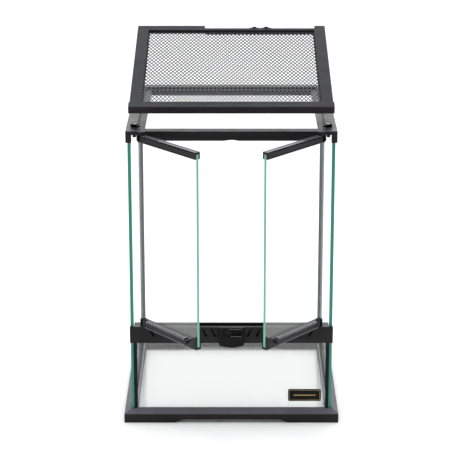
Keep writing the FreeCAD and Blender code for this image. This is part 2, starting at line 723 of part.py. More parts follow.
def lid_mesh():
    """Diamond mesh: a sheet with two interleaved grids of four-cornered holes."""
    wide = value_of(f"2 * ({LID_INNER_X})")
    deep = value_of(f"2 * ({LID_INNER_Y})")
    columns = int(size("mesh_columns"))
    rows = int(size("mesh_rows"))
    pitch_x = wide / columns
    pitch_y = deep / rows
    slant = math.hypot(pitch_x, pitch_y) / 2
    half_x = pitch_x / 2 - size("mesh_wire") * slant / pitch_y
    half_y = pitch_y / 2 - size("mesh_wire") * slant / pitch_x

    def outline(x, y, *offsets):
        return Part.makePolygon([Vector(x + dx, y + dy, 0) for dx, dy in (*offsets, offsets[0])])

    def grid(first, across, along):
        for column_index in range(across):
            for row_index in range(along):
                x = -wide / 2 + (column_index + first) * pitch_x
                y = -deep / 2 + (row_index + first) * pitch_y
                yield outline(x, y, (half_x, 0), (0, -half_y), (-half_x, 0), (0, half_y))

    holes = [*grid(0.5, columns, rows), *grid(1.0, columns - 1, rows - 1)]
    corner = (wide / 2, deep / 2)
    border = outline(0, 0, (-corner[0], -corner[1]), (corner[0], -corner[1]), corner, (-corner[0], corner[1]))
    sheet = DOC.addObject("Part::Feature", "MeshSheet")
    sheet.Shape = Part.Face([border, *holes]).extrude(Vector(0, 0, size("mesh_thick")))
    place(sheet, "0", "0", MESH_FOOT)
    return on_lid("lid_mesh", sheet)


def mesh_retainer():
    """Ring that clips the mesh in from below."""
    in_x = f"{LID_INNER_X} - retainer_width"
    in_y = f"{LID_INNER_Y} - retainer_width"
    z = (f"{MESH_FOOT} - retainer_height", MESH_FOOT)
    ring = block("RetainerRing", (f"-({LID_INNER_X})", LID_INNER_X), (f"-({LID_INNER_Y})", LID_INNER_Y), z)
    hole = block("RetainerHole", (f"-({in_x})", in_x), (f"-({in_y})", in_y), ("0", "lid_height"))
    return on_lid("mesh_retainer", cut("Retainer", ring, hole))


def inlet_gate(side, centre):
    """Small gate that slides along the cable inlet, with a thumb ridge on top."""
    front = f"{LID_HALF_Y} - inlet_depth + gate_gap"
    back = f"{front} + gate_thick"
    wide = (f"{centre} - gate_width / 2", f"{centre} + gate_width / 2")
    thumb = (f"{centre} - thumb_width / 2", f"{centre} + thumb_width / 2")
    blade = block(f"{side}Blade", wide, (front, back), ("gate_gap", "lid_height"))
    ridge = block(f"{side}Ridge", thumb, (front, back), ("lid_height", "lid_height + gate_rise"))
    return on_lid(f"{side.lower()}_inlet_gate", fuse(f"{side}Gate", blade, ridge))


def lid_lock(side, sign):
    """Turning lock on a side rail: a round knob with an arm, and the screw that it turns on."""
    x = f"{sign} * ({HALF_X} - lock_inset)"
    y = f"{FRONT} + lock_setback"
    body = new_body(f"{side}Lock")
    knob = sketch_on(body, f"{side}KnobCircle", "XY_Plane", "lid_gap")
    knob.addGeometry(Part.Circle(Vector(0, 0), Vector(0, 0, 1), size("lock_radius")), False)
    knob.addConstraint(Sketcher.Constraint("Coincident", 0, 3, -1, 1))
    dimension(knob, "Radius", "radius", "lock_radius", 0)
    pad(body, f"{side}Knob", knob, "lock_height")
    arm = sketch_on(body, f"{side}ArmOutline", "XY_Plane", "lid_gap")
    rectangle(arm, ("0.5", "lock_arm"), ("-lock_arm_width / 2", "lock_arm_width / 2"))
    body.Tip = pad(body, f"{side}Arm", arm, "lock_arm_height")
    top = "lid_gap + lock_height"
    sink_z = (f"{top} - screw_sink", f"{top} + 1")
    shank = column(f"{side}ScrewHole", "screw_radius + pin_gap", "0", "0", ("-1", f"{top} + 1"))
    sink = column(f"{side}ScrewSink", "2 * screw_radius + pin_gap", "0", "0", sink_z)
    knob_piece = cut(f"{side}LockBored", body, fuse(f"{side}ScrewRoom", shank, sink))
    angle = "-lock_angle" if sign < 0 else "180 + lock_angle"
    turned = carried(f"{side}LockTurned", knob_piece, x, y, "tank_height", "z", angle)
    node(f"{side.lower()}_lid_lock", turned)
    screw = fuse(
        f"{side}LockScrew",
        column(f"{side}Shank", "screw_radius", x, y, ("tank_height", f"tank_height + {top}")),
        column(f"{side}Head", "2 * screw_radius", x, y,
               (f"tank_height + {top} - screw_sink + pin_gap", f"tank_height + {top}")),
    )
    node(f"{side.lower()}_lock_screw", screw)


def check_and_export():
    """Stop on any failed or empty object, then write each sub-part to its own file."""
    DOC.recompute()
    for obj in DOC.Objects:
        if {"Invalid", "Error"} & set(obj.State):
            raise RuntimeError(f"{obj.Name} failed: {obj.State}")
    os.makedirs("parts", exist_ok=True)
    for obj in NODES:
        shape = obj.Shape
        if shape.isNull() or not shape.isValid() or not shape.Solids:
            raise RuntimeError(f"{obj.Label} has no valid solid")
        shape.exportStep(f"parts/{obj.Label}.step")


fill_sheet()
base_frame()
glass_box()
silicone_seams()
top_frame()
vent_strip()
vent_gauze()
latch_housing()
latch_slider()
name_plate()
hinge_pins()
door("Left", 1)
door("Right", -1)
lid_frame()
lid_mesh()
mesh_retainer()
inlet_gate("First", "gate_first")
inlet_gate("Second", "gate_second")
lid_lock("Left", -1)
lid_lock("Right", 1)
check_and_export()
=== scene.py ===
"""Looks of a front-opening glass enclosure with a lifted mesh lid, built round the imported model."""

import json
import logging
import math
from dataclasses import dataclass, field
from enum import Enum
from typing import Callable, Iterable, Sequence

import bmesh
import bpy
from mathutils import Matrix, Vector

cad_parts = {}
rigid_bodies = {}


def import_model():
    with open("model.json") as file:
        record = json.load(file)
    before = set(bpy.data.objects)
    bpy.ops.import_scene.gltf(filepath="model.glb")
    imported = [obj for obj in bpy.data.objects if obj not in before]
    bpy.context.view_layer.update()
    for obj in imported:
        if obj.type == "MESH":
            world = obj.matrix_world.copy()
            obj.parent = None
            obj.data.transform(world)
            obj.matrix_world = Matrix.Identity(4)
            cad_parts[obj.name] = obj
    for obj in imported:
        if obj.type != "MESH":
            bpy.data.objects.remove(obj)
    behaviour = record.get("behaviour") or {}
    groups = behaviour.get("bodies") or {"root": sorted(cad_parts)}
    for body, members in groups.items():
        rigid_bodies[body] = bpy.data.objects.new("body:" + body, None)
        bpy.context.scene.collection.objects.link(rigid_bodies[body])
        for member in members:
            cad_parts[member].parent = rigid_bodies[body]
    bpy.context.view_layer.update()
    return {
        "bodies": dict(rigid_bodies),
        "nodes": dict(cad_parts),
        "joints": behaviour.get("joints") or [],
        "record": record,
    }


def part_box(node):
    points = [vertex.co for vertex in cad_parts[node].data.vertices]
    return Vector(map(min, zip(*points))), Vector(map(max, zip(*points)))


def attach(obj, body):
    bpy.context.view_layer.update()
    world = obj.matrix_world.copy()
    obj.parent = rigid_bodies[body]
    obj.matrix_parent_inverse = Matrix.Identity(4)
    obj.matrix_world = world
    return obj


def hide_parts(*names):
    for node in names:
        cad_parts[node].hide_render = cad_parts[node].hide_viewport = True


LOG = logging.getLogger("enclosure")
MM = 0.001
X, Y, Z = range(3)
MIX_COLOURS = (6, 7)
MIX_RESULT = 2
Point = Sequence[float]
Colour = tuple[float, float, float]
Socket = bpy.types.NodeSocket
Material = bpy.types.Material
Face = bpy.types.MeshPolygon
Mesh = bpy.types.Mesh
Chooser = Callable[[Face], int]


class Side(Enum):
    """The two hands of the enclosure, with the way that each lies along X."""

    LEFT = -1
    RIGHT = 1

    @property
    def word(self) -> str:
        """The side's name as the nodes spell it."""
        return self.name.lower()

    def x(self, distance: float) -> float:
        """A distance from the middle plane, signed for this side."""
        return self.value * distance


class Grade(Enum):
    """How far an edge is rounded, in metres."""

    CRISP = 0.00025
    MOULDED = 0.0006
    SOFT = 0.0011


# ---- finishes


class Wiring:
    """A material's node tree, with short calls for the nodes that the finishes share."""

    def __init__(self, name: str) -> None:
        """Start an empty tree.

        Args:
            name: the material's name.
        """
        self.material = bpy.data.materials.new(name)
        self.material.use_nodes = True
        self.tree = self.material.node_tree
        self.tree.nodes.clear()
        self.output = self.node("OutputMaterial")
        self.place = self.node("TexCoord").outputs["Object"]

    def feed(self, socket: Socket, value: object) -> None:
        """Link a socket to another, or set its plain value.

        Args:
            socket: the input to feed.
            value: a socket or a plain value.
        """
        if isinstance(value, Socket):
            self.tree.links.new(value, socket)
        else:
            socket.default_value = value

    def node(self, kind: str, **inputs: object) -> bpy.types.Node:
        """Add a node and fill its inputs.

        Args:
            kind: the node's type, less its prefix.
            inputs: values or sockets by input name, with underscores for spaces.

        Returns:
            The new node.
        """
        made = self.tree.nodes.new(f"ShaderNode{kind}")
        for key, value in inputs.items():
            self.feed(made.inputs[key.replace("_", " ")], value)
        return made

    def stretched(self, scale: Point) -> Socket:
        """Object coordinates stretched by a factor on each axis."""
        return self.node("Mapping", Vector=self.place, Scale=scale).outputs[0]

    def noise(self, scale: float, detail: float = 2.0, stretch: Point = (1, 1, 1)) -> Socket:
        """Cloudy variation.

        Args:
            scale: how fine it is, per metre.
            detail: octaves.
            stretch: factor on each axis.

        Returns:
            A value from 0 to 1.
        """
        place = self.stretched(stretch)
        return self.node("TexNoise", Vector=place, Scale=scale, Detail=detail).outputs["Fac"]

    def cells(self, scale: float) -> Socket:
        """Distance inside small cells, for a pebbled grain."""
        return self.node("TexVoronoi", Vector=self.place, Scale=scale).outputs["Distance"]

    def span(
        self,
        value: Socket,
        low: float = 0.0,
        high: float = 1.0,
        start: float = 0.3,
        end: float = 0.7,
    ) -> Socket:
        """Carry a value's usual range onto another.

        Args:
            value: the incoming socket.
            low: result at the range's start.
            high: result at the range's end.
            start: start of the incoming range.
            end: end of the incoming range.

        Returns:
            The carried value.
        """
        made = self.node("MapRange", Value=value)
        limits = {"From Min": start, "From Max": end, "To Min": low, "To Max": high}
        for name, number in limits.items():
            made.inputs[name].default_value = number
        return made.outputs[0]

    def blend(self, factor: Socket, first: object, second: object) -> Socket:
        """Mix two colours.

        Args:
            factor: 0 for the first, 1 for the second.
            first: a colour or a colour socket.
            second: a colour or a colour socket.

        Returns:
            The mixed colour.
        """
        made = self.node("Mix")
        made.data_type = "RGBA"
        self.feed(made.inputs[0], factor)
        for index, value in zip(MIX_COLOURS, (first, second)):
            self.feed(made.inputs[index], value if isinstance(value, Socket) else (*value, 1.0))
        return made.outputs[MIX_RESULT]

    def math(self, operation: str, first: object, second: object) -> Socket:
        """Take one arithmetic step.

        Args:
            operation: which step.
            first: a value or a socket.
            second: a value or a socket.

        Returns:
            The result.
        """
        made = self.node("Math")
        made.operation = operation
        for index, value in enumerate((first, second)):
            self.feed(made.inputs[index], value)
        return made.outputs[0]

    def bump(self, height: Socket, distance: float, strength: float) -> Socket:
        """Turn a height into a surface normal.

        Args:
            height: the height socket.
            distance: how far 1 stands up, in metres.
            strength: share of the effect.

        Returns:
            The bent normal.
        """
        made = self.node("Bump", Height=height, Distance=distance, Strength=strength)
        return made.outputs["Normal"]

    def edges(self) -> Socket:
        """How far a spot is a worn outer edge, from 0 to 1."""
        pointed = self.node("NewGeometry").outputs["Pointiness"]
        return self.span(pointed, start=0.52, end=0.6)

    def close(self, shader: Socket) -> Material:
        """Send a shader to the output and give back the material."""
        self.tree.links.new(shader, self.output.inputs["Surface"])
        return self.material

    def coat(self, colour: Socket, rough: Socket, **others: object) -> Material:
        """Close the tree with one surface.

        Args:
            colour: its colour.
            rough: its roughness.
            others: further inputs by name, with underscores for spaces.

        Returns:
            The finished material.
        """
        made = self.node("BsdfPrincipled", Base_Color=colour, Roughness=rough, **others)
        return self.close(made.outputs[0])


def scaled(tone: Colour, by: float) -> Colour:
    """A colour made lighter or darker, no lighter than white."""
    return tuple(min(1.0, c * by) for c in tone)


@dataclass(frozen=True)
class Plastic:
    """Moulded plastic with a spark-eroded grain, faint flow marks and paler edges."""

    name: str
    tone: Colour
    roughness: float
    grain: float = 0.00004
    sheen: float = 0.5
    edge_lift: float = 1.8

    def material(self) -> Material:
        """Build the node tree."""
        w = Wiring(self.name)
        flow = w.noise(14.0, 4.0, (1.0, 1.0, 2.5))
        pebble = w.cells(1500.0)
        fine = w.noise(2600.0, 2.0)
        body = w.blend(w.span(flow), scaled(self.tone, 0.82), scaled(self.tone, 1.22))
        worn = scaled(self.tone, self.edge_lift)
        colour = w.blend(w.math("MULTIPLY", w.edges(), 0.6), body, worn)
        rough = w.span(w.noise(60.0, 3.0), self.roughness - 0.05, self.roughness + 0.06)
        height = w.math("ADD", pebble, w.math("MULTIPLY", fine, 0.5))
        bent = w.bump(height, self.grain, 0.7)
        return w.coat(colour, rough, Normal=bent, Specular_IOR_Level=self.sheen)


@dataclass(frozen=True)
class ClearGlass:
    """Float glass seen through its broad faces: almost clear, mirroring more at a slant."""

    name: str
    tint: Colour = (0.992, 0.997, 0.995)
    mirror: float = 0.04
    slant: float = 0.14

    def material(self) -> Material:
        """Build the node tree."""
        w = Wiring(self.name)
        facing = w.node("LayerWeight", Blend=0.5).outputs["Facing"]
        steep = w.math("POWER", facing, 4.0)
        share = w.math("ADD", w.math("MULTIPLY", steep, self.slant), self.mirror)
        smear = w.span(w.noise(9.0, 5.0, (1.0, 1.0, 0.4)), 0.0, 0.05)
        ripple = w.bump(w.noise(6.0, 1.0), 0.00004, 0.3)
        through = w.node("BsdfTransparent", Color=(*self.tint, 1.0))
        gloss = w.node("BsdfAnisotropic", Roughness=smear, Normal=ripple)
        mix = w.node("MixShader", Fac=share)
        w.feed(mix.inputs[1], through.outputs[0])
        w.feed(mix.inputs[2], gloss.outputs[0])
        return w.close(mix.outputs[0])


@dataclass(frozen=True)
class GlassEdge:
    """The cut and ground edge of a pane, green with the depth of the glass behind it."""

    name: str
    deep: Colour
    pale: Colour
    roughness: float = 0.18

    def material(self) -> Material:
        """Build the node tree."""
        w = Wiring(self.name)
        along = w.noise(9.0, 3.0)
        grind = w.noise(900.0, 2.0, (1.0, 1.0, 0.06))
        colour = w.blend(w.span(along), self.deep, self.pale)
        rim = w.blend(w.edges(), colour, scaled(self.pale, 1.5))
        rough = w.span(grind, self.roughness, self.roughness + 0.12)
        gloss = {"Specular_IOR_Level": 0.2, "Coat_Weight": 0.08, "Coat_Roughness": 0.08}
        return w.coat(rim, rough, Normal=w.bump(grind, 0.00002, 0.4), **gloss)


@dataclass(frozen=True)
class Silicone:
    """Cured sealant, smooth with tooling waves."""

    name: str
    tone: Colour
    spread: float
    sheen: float
    tooling: float = 0.0002

    def material(self) -> Material:
        """Build the node tree."""
        w = Wiring(self.name)
        wave = w.noise(45.0, 2.0, (1.0, 1.0, 0.3))
        colour = w.blend(w.span(wave), self.tone, scaled(self.tone, self.spread))
        bent = w.bump(wave, self.tooling, 0.5)
        rough = w.span(wave, 0.28, 0.42)
        return w.coat(colour, rough, Normal=bent, Specular_IOR_Level=self.sheen)


@dataclass(frozen=True)
class CoatedWire:
    """Powder-coated expanded metal, worn paler on its ridges."""

    name: str
    tone: Colour
    bare: Colour

    def material(self) -> Material:
        """Build the node tree."""
        w = Wiring(self.name)
        patch = w.noise(70.0, 4.0)
        powder = w.noise(4200.0, 2.0)
        body = w.blend(w.span(patch), self.tone, scaled(self.tone, 1.5))
        colour = w.blend(w.math("MULTIPLY", w.edges(), 0.5), body, self.bare)
        bent = w.bump(powder, 0.00003, 0.6)
        return w.coat(colour, w.span(powder, 0.4, 0.56), Normal=bent, Metallic=0.25)


@dataclass(frozen=True)
class TurnedMetal:
    """Plain metal with fine turning lines."""

    name: str
    tone: Colour
    roughness: float
    lines: float = 1800.0

    def material(self) -> Material:
        """Build the node tree."""
        w = Wiring(self.name)
        ring = w.noise(self.lines, 2.0, (0.15, 0.15, 1.0))
        haze = w.noise(120.0, 3.0)
        colour = w.blend(w.span(haze), scaled(self.tone, 0.75), self.tone)
        rough = w.span(ring, self.roughness, self.roughness + 0.15)
        return w.coat(colour, rough, Normal=w.bump(ring, 0.00002, 0.4), Metallic=1.0)


@dataclass(frozen=True)
class Paper:
    """Plain pale sweep under the object."""

    name: str
    tone: Colour

    def material(self) -> Material:
        """Build the node tree."""
        w = Wiring(self.name)
        fibre = w.noise(300.0, 3.0)
        colour = w.blend(w.span(fibre), scaled(self.tone, 0.99), self.tone)
        return w.coat(colour, w.span(fibre, 0.75, 0.9), Specular_IOR_Level=0.2)


class Palette:
    """Every finish, made once and handed out by name."""

    def __init__(self) -> None:
        """Make the materials."""
        self.moulding = Plastic(
            "MouldedBlack", (0.0128, 0.0115, 0.0126), 0.4, sheen=0.15
        ).material()
        # painted highlight: the same black moulding with a higher specular level, given only to
        # upward faces so that the tops read lighter than the fronts
        self.upper = Plastic("MouldedUpper", (0.0125, 0.0122, 0.014), 0.38, sheen=0.28).material()
        # painted light: a much paler copy of the black moulding for the base's outward slopes,
        # standing for the lamps mirrored in them
        self.slope = Plastic("SlopeBlack", (0.062, 0.06, 0.076), 0.38, sheen=0.26).material()
        self.rail = Plastic("RailBlack", (0.024, 0.0213, 0.0225), 0.42, sheen=0.16).material()
        # painted highlight: pale grey for the highlight lines on the latch recess's rims, along the
        # lower rail's edge and on the finger pull's top
        self.ridge = Plastic("RidgeGrey", (0.16, 0.155, 0.165), 0.4, sheen=0.3).material()
        # painted highlight: the pale grey of the lower rail's teeth stands for the glints on their
        # tops
        self.tooth = Plastic("ToothGrey", (0.42, 0.41, 0.43), 0.4, sheen=0.3).material()
        # painted highlight: a paler copy of the rail black for the upper door rail's top and the lock
        # caps' tops
        self.rail_top = Plastic("RailUpper", (0.12, 0.117, 0.128), 0.4, sheen=0.3).material()
        self.shadow = Plastic(
            "RecessBlack", (0.0028, 0.0026, 0.003), 0.5, grain=0.000008, sheen=0.03
        ).material()
        self.housing = Plastic(
            "HousingBlack", (0.0105, 0.0096, 0.0102), 0.42, sheen=0.06
        ).material()
        self.lid_top = Plastic("LidBlack", (0.017, 0.017, 0.021), 0.5, sheen=0.07).material()
        # painted light: the lid's rim faces take a lighter copy of the lid's black than its top
        self.lid_rim = Plastic("LidRimBlack", (0.029, 0.0265, 0.030), 0.5, sheen=0.07).material()
        self.gloss = Plastic(
            "PolishedBlack", (0.004, 0.004, 0.0046), 0.16, grain=0.000008, sheen=0.12
        ).material()
        self.clear = ClearGlass("ClearPane").material()
        self.floor_clear = ClearGlass("ClearFloorPane", mirror=0.03, slant=0.12).material()
        self.door_clear = ClearGlass("ClearDoorPane", (0.99, 0.996, 0.993), 0.1).material()
        self.edge = GlassEdge(
            "CutEdgeDeep", (0.008, 0.085, 0.062), (0.022, 0.185, 0.14)
        ).material()
        self.door_edge = GlassEdge(
            "CutEdgePale", (0.05, 0.22, 0.145), (0.14, 0.38, 0.27)
        ).material()
        self.silicone = Silicone("BlackSealant", (0.0085, 0.0075, 0.0085), 1.5, 0.1).material()
        self.seam = Silicone("GreySealant", (0.185, 0.19, 0.192), 1.12, 0.2, 0.00003).material()
        self.sealant = Silicone("PaleSealant", (0.15, 0.152, 0.16), 1.15, 0.1, 0.00003).material()
        self.wire = CoatedWire("CoatedMesh", (0.014, 0.014, 0.017), (0.05, 0.05, 0.055)).material()
        # painted shade: the gauze behind the vent slots is near-black so that the slots read as shade
        self.gauze = CoatedWire("DarkGauze", (0.002, 0.002, 0.0022), (0.01, 0.01, 0.01)).material()
        self.steel = TurnedMetal("PlainSteel", (0.5, 0.5, 0.5), 0.25).material()
        self.gold = TurnedMetal("GoldInk", (0.72, 0.5, 0.2), 0.35, 600.0).material()
        self.paper = Paper("PaleSweep", (0.93, 0.93, 0.93)).material()


# ---- mesh tools


class Form:
    """Corners and faces gathered for one mesh, in a sub-assembly's own frame."""

    def __init__(self, stand: Matrix | None = None) -> None:
        """Start empty.

        Args:
            stand: carries the sub-assembly's frame to the row frame.
        """
        self.stand = stand or Matrix.Identity(4)
        self.corners: list[Vector] = []
        self.faces: list[tuple[int, ...]] = []
        self.slots: list[int] = []

    def add(self, corners: Iterable[Point], faces: Iterable[Sequence[int]], slot: int = 0) -> None:
        """Add corners and the faces between them.

        Args:
            corners: points in the sub-assembly's frame.
            faces: indices into these corners.
            slot: which of the piece's finishes the faces take.
        """
        start = len(self.corners)
        self.corners.extend(Vector(c) for c in corners)
        for face in faces:
            self.faces.append(tuple(start + i for i in face))
            self.slots.append(slot)

    def slab(self, low: Point, high: Point, slot: int = 0) -> None:
        """Add a box.

        Args:
            low: its lowest corner.
            high: its highest corner.
            slot: which finish its faces take.
        """
        (x0, y0, z0), (x1, y1, z1) = low, high
        ring = [(x0, y0), (x1, y0), (x1, y1), (x0, y1)]
        self.prism([(x, y, z0) for x, y in ring], (0, 0, z1 - z0), slot)

    def prism(self, outline: Sequence[Point], run: Point, slot: int = 0) -> None:
        """Add an outline swept along a straight run.

        Args:
            outline: corners in order, anticlockwise seen against the run.
            run: the sweep as a vector.
            slot: which finish the faces take.
        """
        count = len(outline)
        far = [tuple(Vector(c) + Vector(run)) for c in outline]
        faces = [tuple(reversed(range(count))), tuple(range(count, 2 * count))]
        faces += [(i, (i + 1) % count, count + (i + 1) % count, count + i) for i in range(count)]
        self.add([*outline, *far], faces, slot)

    def mesh(self, name: str) -> Mesh:
        """Make the mesh, in the row frame.

        Args:
            name: the mesh's name.

        Returns:
            The new mesh.
        """
        made = bpy.data.meshes.new(name)
        made.from_pydata([self.stand @ c for c in self.corners], [], self.faces)
        made.polygons.foreach_set("material_index", self.slots)
        made.validate()
        shell = bmesh.new()
        shell.from_mesh(made)
        bmesh.ops.recalc_face_normals(shell, faces=shell.faces)
        shell.to_mesh(made)
        shell.free()
        return made


SAME_SPOT = 0.002 * MM
FLAT_DEGREES = 0.5


def weld(mesh: Mesh) -> None:
    """Join split corners and drop the lines inside flat faces.

    Args:
        mesh: the mesh to clean.
    """
    shell = bmesh.new()
    shell.from_mesh(mesh)
    bmesh.ops.remove_doubles(shell, verts=shell.verts, dist=SAME_SPOT)
    bmesh.ops.dissolve_limit(
        shell,
        angle_limit=math.radians(FLAT_DEGREES),
        verts=shell.verts,
        edges=shell.edges,
        delimit={"MATERIAL"},
    )
    bmesh.ops.recalc_face_normals(shell, faces=shell.faces)
    shell.to_mesh(mesh)
    shell.free()


def rounded(
    mesh: Mesh, width: float, segments: int = 2, angle: float = 32.0
) -> Mesh:
    """Round a mesh's edges and settle its shading.

    Args:
        mesh: the mesh to round.
        width: radius of the rounding, in metres.
        segments: facets across it.
        angle: only edges sharper than this, in degrees, are rounded.

    Returns:
        The rounded mesh.
    """
    holder = bpy.data.objects.new("Rounding", mesh)
    bpy.context.scene.collection.objects.link(holder)
    mesh.shade_smooth()
    if width > 0:
        bevel = holder.modifiers.new("Edges", "BEVEL")
        bevel.width = width
        bevel.segments = segments
        bevel.limit_method = "ANGLE"
        bevel.angle_limit = math.radians(angle)
        bevel.use_clamp_overlap = True
        bevel.miter_outer = "MITER_ARC"
    even = holder.modifiers.new("Shading", "WEIGHTED_NORMAL")
    even.weight = 80
    even.keep_sharp = True
    bpy.context.view_layer.update()
    final = holder.evaluated_get(bpy.context.evaluated_depsgraph_get())
    made = bpy.data.meshes.new_from_object(final)
    made.name = mesh.name
    bpy.data.objects.remove(holder)
    return made


@dataclass
class Workshop:
    """The frame, the palette and the calls that turn a mesh into a piece."""

    frame: dict
    palette: Palette
    made: list[str] = field(default_factory=list)

    def piece(
        self,
        name: str,
        mesh: Mesh,
        finishes: Sequence[Material],
        body: str,
        stands_for: Sequence[str] = (),
    ) -> None:
        """Hang a mesh on a body with its finishes.

        Args:
            name: the piece's name.
            mesh: its mesh, in the row frame.
            finishes: one material for each slot of the mesh.
            body: the body that it moves with.
            stands_for: the nodes that it replaces.
        """
        chosen = [face.material_index for face in mesh.polygons]
        mesh.materials.clear()
        for finish in finishes:
            mesh.materials.append(finish)
        if len(finishes) > 1:
            mesh.polygons.foreach_set("material_index", chosen)
        thing = bpy.data.objects.new(name, mesh)
        bpy.context.scene.collection.objects.link(thing)
        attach(thing, body)
        if stands_for:
            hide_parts(*stands_for)
        self.made.append(name)

    def built(
        self,
        name: str,
        form: Form,
        finishes: Sequence[Material],
        body: str,
        round_by: float = 0.0,
        segments: int = 2,
        stands_for: Sequence[str] = (),
    ) -> None:
        """Make a piece from a form.

        Args:
            name: the piece's name.
            form: its corners and faces.
            finishes: its materials.
            body: the body that it moves with.
            round_by: radius of its edges.
            segments: facets across an edge.
            stands_for: the nodes that it replaces.
        """
        mesh = rounded(form.mesh(name), round_by, segments)
        self.piece(name, mesh, finishes, body, stands_for)

    def softened(
        self,
        node: str,
        finishes: Sequence[Material],
        body: str,
        grade: Grade = Grade.MOULDED,
        choose: Chooser | None = None,
        swell: float = 1.0,
    ) -> None:
        """Replace a node by its own shape with moulded edges.

        Args:
            node: the node to stand for.
            finishes: its materials.
            body: the body that it moves with.
            grade: how far its edges are rounded.
            choose: gives the number of a face's finish, where there are several.
            swell: how much wider it is than the node, about its middle.
        """
        mesh = self.frame["nodes"][node].data.copy()
        weld(mesh)
        mesh.name = f"{node}_shell"
        if swell != 1.0:
            hub = middle(node)
            spread = Matrix.Diagonal((swell, swell, 1, 1))
            mesh.transform(Matrix.Translation(hub) @ spread @ Matrix.Translation(-hub))
        mesh = rounded(mesh, grade.value, 3)
        for face in mesh.polygons:
            face.material_index = choose(face) if choose else 0
        self.piece(f"{node}_shell", mesh, finishes, body, [node])

    def dress(self, node: str, finish: Material) -> None:
        """Give a finish to a node that stays in view.

        Args:
            node: the node.
            finish: its material.
        """
        data = self.frame["nodes"][node].data
        data.materials.clear()
        data.materials.append(finish)

    def joint(self, name: str) -> dict:
        """The frame's entry for a joint."""
        return next(j for j in self.frame["joints"] if j["name"] == name)

    def report(self, what: str) -> None:
        """Log how many pieces stand so far."""
        LOG.info("%s built; %d pieces so far", what, len(self.made))


LOOKS_UP = 0.4
LOOKS_STRAIGHT_UP = 0.97
LEANS = (0.3, 0.95)
BROAD = 0.99
SLOT_REACH = 145 * MM


def is_upper(face: Face) -> int:
    """1 for a face that looks up. Pieces give such faces a separate top finish, which on the frames
    and door rails is painted highlight or painted shade.
    """
    return int(face.normal.z > LOOKS_UP)


def is_lens(face: Face) -> int:
    """1 for a face that looks straight up, such as a lock cap's top, which takes a painted highlight.
    """
    return int(face.normal.z > LOOKS_STRAIGHT_UP)


def is_slope(face: Face) -> int:
    """1 for a face that leans outwards and up; such faces take the paler slope finish, which is
    painted light.
    """
    return int(LEANS[0] < face.normal.z < LEANS[1])


def strip_part(face: Face) -> int:
    """1 for a face that looks up, which takes the painted highlight; 2 for a wall of a slot, which
    takes painted shade; else 0.
    """
    sideways = abs(face.normal.y) < 0.8 and abs(face.normal.x) > 0.15
    return 2 if sideways and abs(face.center.x) < SLOT_REACH else is_upper(face)


def middle(node: str) -> Vector:
    """The middle of a node's box."""
    low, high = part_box(node)
    return (low + high) / 2


# ---- glass


@dataclass
class Pane:
    """One sheet of glass: clear broad faces and cut edges with ground arrises, green on the side
    panes.
    """

    node: str
    thin: int
    arris: float = 0.0005
    body: str = "tank"
    slot: str = "tank_glass"

    def build(self, shop: Workshop) -> None:
        """Replace the node by a pane with two finishes."""
        low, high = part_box(self.node)
        form = Form()
        form.slab(low, high)
        clear = shop.palette.floor_clear if self.thin == Z else shop.palette.clear
        self.dressed(shop, form, clear, shop.palette.edge if self.thin == X else clear)

    def dressed(self, shop: Workshop, form: Form, clear: Material, edge: Material) -> None:
        """Round a pane and give its broad faces one finish and its edges the other.

        Args:
            shop: makes the piece.
            form: the pane's block, thin along axis number `thin`.
            clear: finish of the broad faces.
            edge: finish of the rest.
        """
        mesh = rounded(form.mesh(f"{self.node}_pane"), self.arris, 1)
        for face in mesh.polygons:
            face.material_index = int(abs(face.normal[self.thin]) < BROAD)
        shop.piece(f"{self.node}_pane", mesh, [clear, edge], self.body, [self.node])


